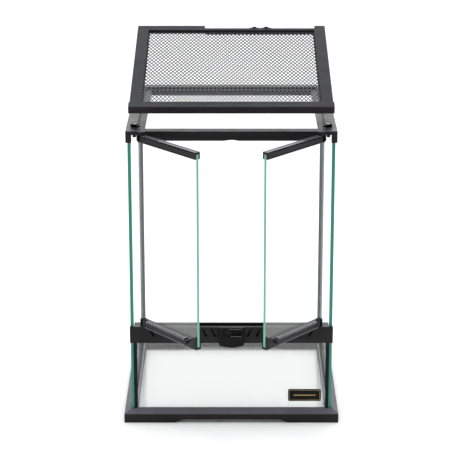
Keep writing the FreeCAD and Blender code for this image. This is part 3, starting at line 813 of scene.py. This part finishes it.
@dataclass
class GlassBox:
    """The five fixed panes and the beads of sealant that hold them.

    Attributes:
        smear: how far the front sealant stands out from its seam.
        lap: how far the front sealant reaches over it.
        bite: how far a rear bead sinks into a pane, so that no two faces coincide.
        fillet: radius of a rear bead's hollow.
    """

    smear: float = 1.1 * MM
    lap: float = 0.3 * MM
    bite: float = 0.12 * MM
    fillet: float = 2.4 * MM
    fillet_steps: int = 6

    def front_smear(self, shop: Workshop, side: Side) -> None:
        """Make the sealant drawn out over the side pane's front edge.

        Args:
            shop: makes the piece.
            side: which corner.
        """
        low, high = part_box(f"{side.word}_front_seam")
        outer = max(abs(low.x), abs(high.x))
        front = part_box(f"{side.word}_side_glass")[0].y
        form = Form()
        x0, x1 = sorted((side.x(outer - 1 * MM), side.x(outer + self.smear)))
        form.slab((x0, front - self.lap, low.z), (x1, front + self.lap, high.z))
        name = f"{side.word}_front_smear"
        finishes = [shop.palette.silicone]
        shop.built(name, form, finishes, "tank", Grade.CRISP.value)

    def rear_bead(self, shop: Workshop, side: Side) -> None:
        """Make one rear corner's sealant: the joint between two panes and its hollow fillet.

        Args:
            shop: makes the piece.
            side: which corner.
        """
        node = f"{side.word}_rear_seam"
        low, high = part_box(node)
        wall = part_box("floor_glass")[1].x
        outer = max(abs(low.x), abs(high.x)) - self.bite / 2
        back, face = high.y, low.y - self.bite
        outline = [(outer, face), (outer, back), (wall - self.fillet, back)]
        for i in range(1, self.fillet_steps):
            turn = math.pi / 2 * i / self.fillet_steps
            inward = self.fillet * (1 - math.cos(turn))
            outline.append((wall - self.fillet + inward, back - self.fillet * math.sin(turn)))
        outline += [(wall, back - self.fillet), (wall, face)]
        form = Form()
        form.prism([(side.x(x), y, low.z) for x, y in outline], (0, 0, high.z - low.z))
        finishes = [shop.palette.seam]
        shop.built(f"{node}_bead", form, finishes, "tank", stands_for=[node])

    def build(self, shop: Workshop) -> None:
        """Make the panes and the beads."""
        panes = {
            "floor_glass": Z,
            "front_glass": Y,
            "rear_glass": Y,
            "left_side_glass": X,
            "right_side_glass": X,
        }
        for node, thin in panes.items():
            Pane(node, thin).build(shop)
        for side in Side:
            shop.softened(f"{side.word}_front_seam", [shop.palette.silicone], "tank")
            self.front_smear(shop, side)
            self.rear_bead(shop, side)
        shop.softened("floor_seam", [shop.palette.sealant], "tank", Grade.SOFT)
        shop.report("Glass box")


# ---- frames


class Base:
    """The flared base."""

    def build(self, shop: Workshop) -> None:
        """Make the base."""
        # the outward slopes take the paler finish, which is painted light
        finishes = [shop.palette.moulding, shop.palette.slope]
        shop.softened("base_frame", finishes, "tank", choose=is_slope)
        shop.report("Base")


class TopFrame:
    """The stepped top frame with its hinge pins."""

    def build(self, shop: Workshop) -> None:
        """Make the frame and dress the pins."""
        # the upward faces take the higher-sheen copy, a painted highlight
        finishes = [shop.palette.moulding, shop.palette.upper]
        shop.softened("top_frame", finishes, "tank", choose=is_upper)
        for side in Side:
            for place in ("upper", "lower"):
                shop.dress(f"{side.word}_{place}_hinge_pin", shop.palette.steel)
        shop.report("Top frame")


@dataclass
class VentStrip:
    """The crossbar under the doors, its gauze and the latch.

    Attributes:
        lip: height of the pale lines painted as highlights on the recess's rims.
        proud: how far they stand out of the housing.
        shade: width of the dark lines of painted shade at the housing's sides.
        depth: thickness of the housing's foot.
    """

    travel: float = 13 * MM
    lip: float = 0.55 * MM
    proud: float = 0.12 * MM
    shade: float = 0.7 * MM
    depth: float = 5 * MM
    facets: int = 28

    def recess_lips(self, shop: Workshop) -> None:
        """Make the pale lines of painted highlight on the recess's rims and the dark lines of painted
        shade at the housing's sides.
        """
        low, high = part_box("latch_slider")
        house_low, house_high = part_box("latch_housing")
        front = house_low.y
        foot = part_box("vent_strip")[0].z
        end = high.x + self.travel
        upper_glint = (low.x + 7 * MM, high.z + 0.2 * MM)
        lower_glint = (low.x + 10 * MM, low.z - 0.2 * MM - self.lip)
        form = Form()
        # pale bars of painted highlight along the recess's upper and lower rims
        for start, z in (upper_glint, lower_glint):
            form.slab((start, front - self.proud, z), (end, front + 0.3 * MM, z + self.lip), 0)
        # dark lines of painted shade where the housing's sides meet the strip
        for x in (house_low.x - self.shade / 2, house_high.x - self.shade / 2):
            near = (x, front + 0.2 * MM, foot + 1.5 * MM)
            form.slab(near, (x + self.shade, front + 2 * MM, house_high.z - 1 * MM), 1)
        finishes = [shop.palette.ridge, shop.palette.shadow]
        shop.built("recess_lips", form, finishes, "tank", 0.1 * MM, 1)
        self.belly(shop, low.z - 1.6 * MM, foot)

    def belly(self, shop: Workshop, top: float, shoulder: float) -> None:
        """Make the housing's broad rounded foot.

        Args:
            shop: makes the piece.
            top: where it starts, in metres.
            shoulder: where its sides start to curve in.
        """
        low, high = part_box("latch_housing")
        half = (high.x - low.x) / 2
        mid = (high.x + low.x) / 2
        y = low.y - self.proud / 2
        outline = [(mid + half, y, top), (mid - half, y, top)]
        for i in range(self.facets + 1):
            turn = math.pi * i / self.facets
            drop = (shoulder - low.z) * math.sin(turn)
            outline.append((mid - half * math.cos(turn), y, shoulder - drop))
        form = Form()
        form.prism(outline, (0, self.depth, 0))
        finishes = [shop.palette.housing]
        shop.built("housing_belly", form, finishes, "tank", 0.4 * MM)

    def build(self, shop: Workshop) -> None:
        """Make the strip, gauze, housing and slider."""
        # upward faces take the painted highlight and the slot walls painted shade
        finishes = [shop.palette.moulding, shop.palette.upper, shop.palette.shadow]
        shop.softened("vent_strip", finishes, "tank", Grade.CRISP, strip_part)
        shop.softened("latch_housing", [shop.palette.housing], "tank")
        shop.softened("latch_slider", [shop.palette.gloss], "latch")
        # the gauze is near-black, painted shade behind the slots
        shop.dress("vent_gauze", shop.palette.gauze)
        self.recess_lips(shop)
        shop.report("Vent strip")


@dataclass
class Door:
    """One glass door with its two rails and finger pull, drawn shut from its hinge.

    Attributes:
        reach: from the hinge line to the free edge.
        tooth: width of a tooth on the lower rail.
        pitch: from one tooth to the next.
        notch: from one rib to the next on the upper rail.
        rail_half: half of a rail's thickness.
        pull_start: where the finger pull begins.
        scoop: how deep the finger pull's hollow floor lies, from and to.
        knuckle: radius round the pin that is dark.
    """

    side: Side
    reach: float = 129.25 * MM
    tooth: float = 1.5 * MM
    pitch: float = 5.1 * MM
    notch: float = 9.8 * MM
    rail_half: float = 4.5 * MM
    pull_start: float = 107.0 * MM
    scoop: tuple[float, float] = (-8.9 * MM, -4.7 * MM)
    knuckle: float = 8 * MM

    @property
    def body(self) -> str:
        """The body that the door's pieces ride on."""
        return f"{self.side.word}_door"

    def swing(self, shop: Workshop) -> float:
        """How far the door is turned from shut, in radians."""
        hinge = shop.joint(f"{self.side.word}_door_hinge")
        return -math.radians(hinge["range_deg"][0]) * hinge["axis"][Z]

    def stand(self, shop: Workshop) -> Matrix:
        """The door's own frame at rest: the hinge line at the origin, X towards the free edge.

        Args:
            shop: gives the joints.

        Returns:
            The matrix from the door's frame to the row frame.
        """
        at = middle(f"{self.side.word}_upper_hinge_pin")
        mirror = Matrix.Diagonal((-self.side.value, 1, 1, 1))
        turn = Matrix.Rotation(self.swing(shop), 4, "Z")
        return Matrix.Translation((at.x, at.y, 0)) @ turn @ mirror

    def rack(self, shop: Workshop, stand: Matrix) -> None:
        """Make the row of teeth, painted pale for their highlights with painted shade in the gaps,
        and a pale bead of painted highlight along the lower rail's outer face.

        Args:
            shop: makes the piece.
            stand: the door's own frame.
        """
        low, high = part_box(f"{self.side.word}_lower_door_rail")
        face, back, top = -self.rail_half, -self.rail_half + 5 * MM, high.z
        form = Form(stand)
        # each tooth is painted pale for its highlight and each gap dark for its shade
        for i in range(int((self.pull_start - 14 * MM) / self.pitch)):
            x = 13 * MM + i * self.pitch
            gap = x + self.tooth
            form.slab((x, face - 0.45 * MM, top - 2.3 * MM), (gap, back, top + 0.5 * MM), 2)
            end = (x + self.pitch, back, top + 0.1 * MM)
            form.slab((gap, face - 0.15 * MM, top - 2.2 * MM), end, 1)
        # a painted highlight line along the rail's lower edge
        end = (self.pull_start, face + 0.3 * MM, low.z + 0.95 * MM)
        form.slab((9 * MM, face - 0.45 * MM, low.z + 0.2 * MM), end, 0)
        self.rail_extra(shop, "lower_rail_rack", form)

    def ribs(self, shop: Workshop, stand: Matrix) -> None:
        """Make the dark slabs of painted shade for the notches and lines on the upper rail's outer
        face and top.

        Args:
            shop: makes the piece.
            stand: the door's own frame.
        """
        low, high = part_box(f"{self.side.word}_upper_door_rail")
        face, back = -self.rail_half, -self.rail_half + 0.4 * MM
        front = face - 0.15 * MM
        form = Form(stand)
        for i in range(int((self.reach - 16 * MM) / self.notch)):
            x = 12 * MM + i * self.notch
            form.slab((x, front, high.z - 2.6 * MM), (x + 4 * MM, back, high.z - 0.3 * MM), 1)
            x += 4.6 * MM
            form.slab((x, front, low.z + 0.3 * MM), (x + 3.4 * MM, back, low.z + 2.6 * MM), 1)
        end = self.reach - 1.5 * MM
        low_line = (11 * MM, face - 0.12 * MM, high.z - 1.4 * MM)
        form.slab(low_line, (end, back, high.z - 0.35 * MM), 1)
        form.slab((11 * MM, 0.4 * MM, high.z - 0.2 * MM), (end, 1.2 * MM, high.z + 0.2 * MM), 1)
        far = self.rail_half - 0.4 * MM
        for i in range(6):
            x = 12 * MM + i * 5.6 * MM
            corner = (x + 2.4 * MM, far, high.z + 0.25 * MM)
            form.slab((x, face + 0.5 * MM, high.z - 0.2 * MM), corner, 1)
        self.rail_extra(shop, "upper_rail_ribs", form)

    def rail_extra(self, shop: Workshop, name: str, form: Form) -> None:
        """Hang a rail's added relief on the door.

        Args:
            shop: makes the piece.
            name: the piece's name, less its side.
            form: the relief.
        """
        # pale painted highlight, painted shade, and the teeth's painted highlight
        finishes = [shop.palette.ridge, shop.palette.shadow, shop.palette.tooth]
        shop.built(f"{self.side.word}_{name}", form, finishes, self.body)

    def rails(self, shop: Workshop, stand: Matrix) -> None:
        """Make the rails and the finger pull.

        Args:
            shop: makes the pieces.
            stand: the door's own frame.
        """
        hinge_line = middle(f"{self.side.word}_upper_hinge_pin").to_2d()
        unstand = stand.inverted()
        turn = unstand.to_3x3()

        def rail_part(face: Face) -> int:
            """1 for a face that looks up, 2 for the dark knuckle and for the scoop's floor, which
            takes painted shade, else 0.
            """
            near = (face.center.to_2d() - hinge_line).length < self.knuckle
            depth = (unstand @ face.center).y
            level = abs((turn @ face.normal).y) > 0.9
            scoop = self.scoop[0] < depth < self.scoop[1] and level
            return is_upper(face) or 2 * int(near or scoop)

        palette = shop.palette
        # finishes for upward faces: painted shade on the lower rail's top, painted highlight on the
        # upper rail's and the finger pull's tops
        tops = {
            "lower_door_rail": palette.shadow,
            "upper_door_rail": palette.rail_top,
            "door_handle": palette.ridge,
        }
        for part, upper in tops.items():
            node = f"{self.side.word}_{part}"
            finishes = [palette.rail, upper, palette.shadow]
            shop.softened(node, finishes, self.body, Grade.CRISP, rail_part)

    def pane(self, shop: Workshop) -> None:
        """Make the pane, green at its free edge and its ends."""
        node = f"{self.side.word}_door_glass"
        mesh = shop.frame["nodes"][node].data.copy()
        weld(mesh)
        mesh = rounded(mesh, 0.4 * MM, 1)
        turn = Matrix.Rotation(self.swing(shop), 3, "Z")
        across = turn @ Vector((0, 1, 0))
        inward = turn @ Vector((self.side.value, 0, 0))
        for face in mesh.polygons:
            hidden = abs(face.normal.dot(across)) > BROAD or face.normal.dot(inward) > 0.6
            face.material_index = int(not hidden)
        finishes = [shop.palette.door_clear, shop.palette.door_edge]
        name = f"{self.side.word}_door_pane"
        shop.piece(name, mesh, finishes, self.body, [node])

    def build(self, shop: Workshop) -> None:
        """Make the door's pieces."""
        stand = self.stand(shop)
        self.rack(shop, stand)
        self.ribs(shop, stand)
        self.rails(shop, stand)
        self.pane(shop)
        shop.report(f"{self.side.word.title()} door")


# ---- lid


@dataclass
class Lid:
    """The lifted lid: its hollow frame, diamond mesh, inlet gates and locks.

    Attributes:
        height: depth of the lid's frame.
        half: half of its length.
        wire: width of a strand.
        wire_thick: depth of a strand.
        mesh_top: height of the mesh in the lid.
        flank: how much wider a cell is at its faces than half way through.
        blunt: how blunt a cell's corners are.
        trim: how far the blunted corners are drawn in.
        lock_swell: how much wider a lock looks than its node.
    """

    height: float = 11 * MM
    half: float = 148.5 * MM
    opening: float = 130.8 * MM
    columns: int = 43
    rows: int = 22
    wire: float = 1.6 * MM
    wire_thick: float = 0.9 * MM
    mesh_top: float = 7.6 * MM
    flank: float = 0.096
    blunt: float = 0.12
    trim: float = 0.97
    lock_swell: float = 1.35

    def stand(self, shop: Workshop) -> Matrix:
        """The lid's own frame, with its origin mid-foot, carried to where it is held.

        Args:
            shop: gives the joints.

        Returns:
            The matrix from the lid's frame to the row frame.
        """
        tilt = -math.radians(shop.joint("lid_lift")["range_deg"][0])
        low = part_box("lid_frame")[0]
        foot = Vector((0, low.y + self.height * math.sin(tilt), low.z))
        foot += self.half * Vector((0, math.cos(tilt), math.sin(tilt)))
        return Matrix.Translation(foot) @ Matrix.Rotation(tilt, 4, "X")

    def cell(self, hx: float, hy: float) -> list[tuple[float, float]]:
        """One cell's blunt-cornered outline.

        Args:
            hx: half of its width.
            hy: half of its length.

        Returns:
            Its eight corners, anticlockwise from the right.
        """
        wide, long = hx * self.blunt, hy * self.blunt
        ring = [(hx, -long), (hx, long), (wide, hy), (-wide, hy)]
        ring += [(-hx, long), (-hx, -long), (-wide, -hy), (wide, -hy)]
        return [
            (x * self.trim if abs(x) > hx / 2 else x, y * self.trim if abs(y) > hy / 2 else y)
            for x, y in ring
        ]

    def lattice(self, stand: Matrix) -> Mesh:
        """The diamond mesh as one sheet of strands with bevelled flanks.

        Args:
            stand: the lid's own frame.

        Returns:
            The mesh, cut to the opening.
        """
        px = 2 * self.opening / self.columns
        py = 2 * self.opening / self.rows
        slant = math.hypot(px, py) / 2
        half_x = px / 2 - self.wire * slant / py
        half_y = py / 2 - self.wire * slant / px
        shell = bmesh.new()
        levels = ((0.0, 1.0 + self.flank), (0.5, 1.0), (1.0, 1.0 + self.flank))
        rings: dict[tuple[int, int], list[list[bmesh.types.BMVert]]] = {}
        for i in range(-1, 2 * self.columns + 2):
            for j in range(-1, 2 * self.rows + 2):
                if (i + j) % 2:
                    continue
                cx = -self.opening + i * px / 2
                cy = -self.opening + j * py / 2
                rings[i, j] = []
                for level, grow in levels:
                    z = self.mesh_top - self.wire_thick * (1 - level)
                    outline = self.cell(half_x * grow, half_y * grow)
                    spots = [stand @ Vector((cx + x, cy + y, z)) for x, y in outline]
                    rings[i, j].append([shell.verts.new(spot) for spot in spots])
        for (i, j), stack in rings.items():
            for lower, upper in zip(stack, stack[1:]):
                for k in range(8):
                    after = (k + 1) % 8
                    shell.faces.new((lower[k], upper[k], upper[after], lower[after]))
            ne = rings.get((i + 1, j + 1))
            nw = rings.get((i - 1, j + 1))
            up = rings.get((i, j + 2))
            for level in (0, 2):
                a = stack[level]
                if ne:
                    b = ne[level]
                    shell.faces.new((a[1], b[6], b[5], a[2]))
                if nw:
                    b = nw[level]
                    shell.faces.new((a[3], b[0], b[7], a[4]))
                if ne and nw and up:
                    n, e, v = up[level], ne[level], nw[level]
                    shell.faces.new((a[3], a[2], e[5], e[4], n[7], n[6], v[1], v[0]))
        self.trim_to_opening(shell, stand)
        bmesh.ops.recalc_face_normals(shell, faces=shell.faces)
        made = bpy.data.meshes.new("lid_lattice")
        shell.to_mesh(made)
        shell.free()
        return made

    def trim_to_opening(self, shell: bmesh.types.BMesh, stand: Matrix) -> None:
        """Cut the mesh off just inside the four sides of its opening.

        Args:
            shell: the mesh being made.
            stand: the lid's own frame.
        """
        for axis in (Vector((1, 0, 0)), Vector((0, 1, 0))):
            for sign in (-1, 1):
                bmesh.ops.bisect_plane(
                    shell,
                    geom=[*shell.verts, *shell.edges, *shell.faces],
                    plane_co=stand @ (axis * sign * (self.opening - 0.05 * MM)),
                    plane_no=stand.to_3x3() @ (axis * sign),
                    clear_outer=True,
                )

    def build(self, shop: Workshop) -> None:
        """Make the lid's pieces."""
        palette = shop.palette
        # the rim faces take the lighter copy of the lid's black, painted light; the tops take the
        # plain lid finish
        finishes = [palette.lid_rim, palette.lid_top]
        shop.softened("lid_frame", finishes, "lid", choose=is_upper)
        sheet = self.lattice(self.stand(shop))
        shop.piece("lid_lattice", sheet, [palette.wire], "lid", ["lid_mesh"])
        plain = [palette.lid_top]
        shop.softened("mesh_retainer", plain, "lid", Grade.CRISP)
        for name in ("first", "second"):
            node, body = f"{name}_inlet_gate", f"{name}_gate"
            shop.softened(node, plain, body, Grade.CRISP)
        for side in Side:
            # the lock's body is near-black and its cap's top takes the painted highlight
            shop.softened(
                f"{side.word}_lid_lock",
                [palette.shadow, palette.rail_top],
                f"{side.word}_lock",
                choose=is_lens,
                swell=self.lock_swell,
            )
            shop.dress(f"{side.word}_lock_screw", palette.steel)
        shop.report("Lid")


@dataclass
class NamePlate:
    """A plain plate with a thin gold border and one plain bar."""

    line: float = 0.35 * MM
    margin: float = 1.6 * MM
    bar_inset: float = 7 * MM
    bar_half: float = 0.5 * MM

    def build(self, shop: Workshop) -> None:
        """Make the plate and its border."""
        shop.softened("name_plate", [shop.palette.gloss], "tank", Grade.CRISP)
        low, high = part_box("name_plate")
        form = Form()
        x0, x1 = low.x + self.margin, high.x - self.margin
        z0, z1 = low.z + self.margin, high.z - self.margin
        y0, y1 = low.y - 0.08 * MM, low.y + 0.1 * MM
        mid_z = (low.z + high.z) / 2
        inset, half, line = self.bar_inset, self.bar_half, self.line
        form.slab((x0 + inset, y0, mid_z - half), (x1 - inset, y1, mid_z + half))
        strips = (
            (x0, z0, x1, z0 + line),
            (x0, z1 - line, x1, z1),
            (x0, z0 + line, x0 + line, z1 - line),
            (x1 - line, z0 + line, x1, z1 - line),
        )
        for left, foot, right, head in strips:
            form.slab((left, y0, foot), (right, y1, head))
        shop.built("plate_border", form, [shop.palette.gold], "tank")
        shop.report("Name plate")


# ---- studio


@dataclass
class Studio:
    """Floor, soft light and camera, with its pitch in degrees."""

    floor_half: float = 7.0
    eye: Point = (0.0, -2.612, 1.0665)
    pitch: float = 17.12
    lens: float = 141.1
    shift: float = -0.0142
    sky: Colour = (0.97, 0.985, 1.0)
    sky_strength: float = 0.42

    def build(self, shop: Workshop) -> None:
        """Set up the studio."""
        bpy.context.scene.view_settings.view_transform = "Standard"
        self.floor(shop)
        self.room()
        self.lamp("Overhead", (0.0, 0.1, 2.5), (0.0, 0.0, 0.2), (2.6, 2.6), 82.0)
        self.lamp("RearBank", (0.0, 3.7, 2.0), (0.0, 0.0, 0.5), (5.2, 3.4), 90.0)
        self.camera()
        shop.report("Studio")

    def floor(self, shop: Workshop) -> None:
        """Lay the floor."""
        mesh = bpy.data.meshes.new("Sweep")
        h = self.floor_half
        mesh.from_pydata([(-h, -h, 0), (h, -h, 0), (h, h, 0), (-h, h, 0)], [], [(0, 1, 2, 3)])
        mesh.materials.append(shop.palette.paper)
        floor = bpy.data.objects.new("Sweep", mesh)
        bpy.context.scene.collection.objects.link(floor)

    def room(self) -> None:
        """Light the room evenly."""
        world = bpy.data.worlds.new("SoftRoom")
        world.use_nodes = True
        ground = world.node_tree.nodes["Background"]
        ground.inputs["Color"].default_value = (*self.sky, 1.0)
        ground.inputs["Strength"].default_value = self.sky_strength
        bpy.context.scene.world = world

    def camera(self) -> None:
        """Set up the camera."""
        data = bpy.data.cameras.new("Eye")
        data.sensor_width = 36.0
        data.sensor_fit = "HORIZONTAL"
        data.lens = self.lens
        data.shift_x = self.shift
        data.clip_start = 0.05
        data.clip_end = 60.0
        camera = bpy.data.objects.new("Eye", data)
        camera.location = self.eye
        camera.rotation_euler = (math.radians(90.0 - self.pitch), 0.0, 0.0)
        bpy.context.scene.collection.objects.link(camera)
        bpy.context.scene.camera = camera

    def lamp(
        self, name: str, at: Point, towards: Point, size: tuple[float, float], power: float
    ) -> None:
        """Hang a rectangular soft light.

        Args:
            name: its name.
            at: where it hangs.
            towards: what it points at.
            size: its width and height, in metres.
            power: watts.
        """
        data = bpy.data.lights.new(name, "AREA")
        data.shape = "RECTANGLE"
        data.size, data.size_y = size
        data.energy = power
        thing = bpy.data.objects.new(name, data)
        thing.location = at
        thing.rotation_euler = (Vector(towards) - Vector(at)).to_track_quat("-Z", "Y").to_euler()
        bpy.context.scene.collection.objects.link(thing)


def corners(bounds: Sequence[Point]) -> list[list[float]]:
    """A box as plain lists of numbers."""
    return [[float(v) for v in corner] for corner in bounds]


def main() -> None:
    """Build every sub-assembly in order."""
    logging.basicConfig(level=logging.INFO, format="%(name)s: %(message)s")
    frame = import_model()
    shop = Workshop(frame, Palette())
    Studio().build(shop)
    GlassBox().build(shop)
    Base().build(shop)
    TopFrame().build(shop)
    VentStrip().build(shop)
    for side in Side:
        Door(side).build(shop)
    Lid().build(shop)
    NamePlate().build(shop)


if __name__ == "__main__":
    main()
